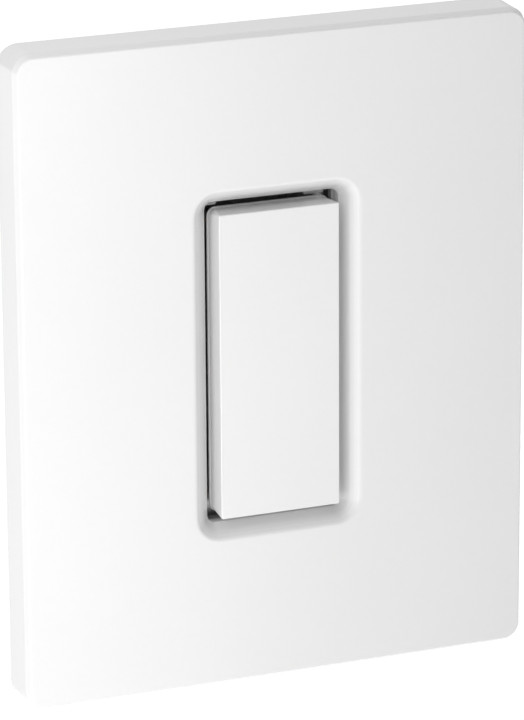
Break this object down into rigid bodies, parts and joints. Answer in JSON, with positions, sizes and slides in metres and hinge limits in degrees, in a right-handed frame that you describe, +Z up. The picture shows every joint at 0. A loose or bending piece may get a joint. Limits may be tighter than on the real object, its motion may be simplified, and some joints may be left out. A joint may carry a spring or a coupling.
{
  "type": "rocker wall switch",
  "caption": "White screwless wall plate with a soft dished recess around a tall narrow centre-return rocker switch, with its mounting strap and rear switch body.",
  "frame": {"origin": "centre of the wall plane, midway between the two wall-box screws", "axes": "+Z up, +X to the right as seen from the room, -Y out of the wall towards the room; +Y runs into the wall along the box screws"},
  "size_m": [0.1168, 0.0395, 0.1448],
  "materials": {
    "white_plate": "gloss",
    "white_rocker": "gloss",
    "light_grey_frame": "satin",
    "grey_sub_plate": "fine matt grain",
    "plated_strap": "zinc plated",
    "plated_screws": "zinc plated",
    "fibre_washer": "vulcanised fibre",
    "black_rubber": "matt",
    "dark_housing": "fine matt grain",
    "ivory_base": "fine matt grain",
    "brass_rivet": "tumbled",
    "steel_pin": "drawn",
    "brass_terminal": "stamped",
    "brass_screw": "turned",
    "clamp_steel": "stamped",
    "silver_contact": "silver alloy, polished",
    "green_screw": "green passivated",
    "grey_carrier": "natural acetal",
    "white_plunger": "natural acetal",
    "spring_steel": "spring wire"
  },
  "bodies": {
    "housing": {"cover_plate": "white_plate", "sub_plate": "grey_sub_plate", "inner_frame": "light_grey_frame", "sub_plate_screws": "plated_screws", "mounting_strap": "plated_strap", "ground_screw": "green_screw", "box_screws": "plated_screws", "screw_retainers": "fibre_washer", "stop_bumpers": "black_rubber", "switch_cover": "dark_housing", "switch_base": "ivory_base", "body_rivets": "brass_rivet", "hinge_pin": "steel_pin", "common_terminal": "brass_terminal", "upper_terminal": "brass_terminal", "lower_terminal": "brass_terminal", "terminal_screws": "brass_screw", "clamp_plates": "clamp_steel", "fixed_contacts": "silver_contact", "upper_spring": "spring_steel", "lower_spring": "spring_steel"},
    "rocker": {"rocker_cap": "white_rocker", "rocker_carrier": "grey_carrier"},
    "upper_plunger": {"upper_plunger": "white_plunger", "upper_bridge": "brass_terminal", "upper_bridge_contacts": "silver_contact"},
    "lower_plunger": {"lower_plunger": "white_plunger", "lower_bridge": "brass_terminal", "lower_bridge_contacts": "silver_contact"}
  },
  "joints": [
    {"name": "rocker_tilt", "type": "hinge", "parent": "housing", "child": "rocker", "pos_m": [0, -0.0026, 0], "axis": [-1, 0, 0], "range_deg": [-4, 4], "stiffness_Nm_per_rad": 0.92},
    {"name": "upper_plunger_slide", "type": "slide", "parent": "housing", "child": "upper_plunger", "axis": [0, 1, 0], "range_m": [-0.0017, 0.0017], "deforming": ["upper_spring"]},
    {"name": "lower_plunger_slide", "type": "slide", "parent": "housing", "child": "lower_plunger", "axis": [0, 1, 0], "range_m": [-0.0017, 0.0017], "deforming": ["lower_spring"]}
  ],
  "couplings": [
    {"joint": "upper_plunger_slide", "follows": "rocker_tilt", "m_per_rad": 0.024},
    {"joint": "lower_plunger_slide", "follows": "rocker_tilt", "m_per_rad": -0.024}
  ]
}
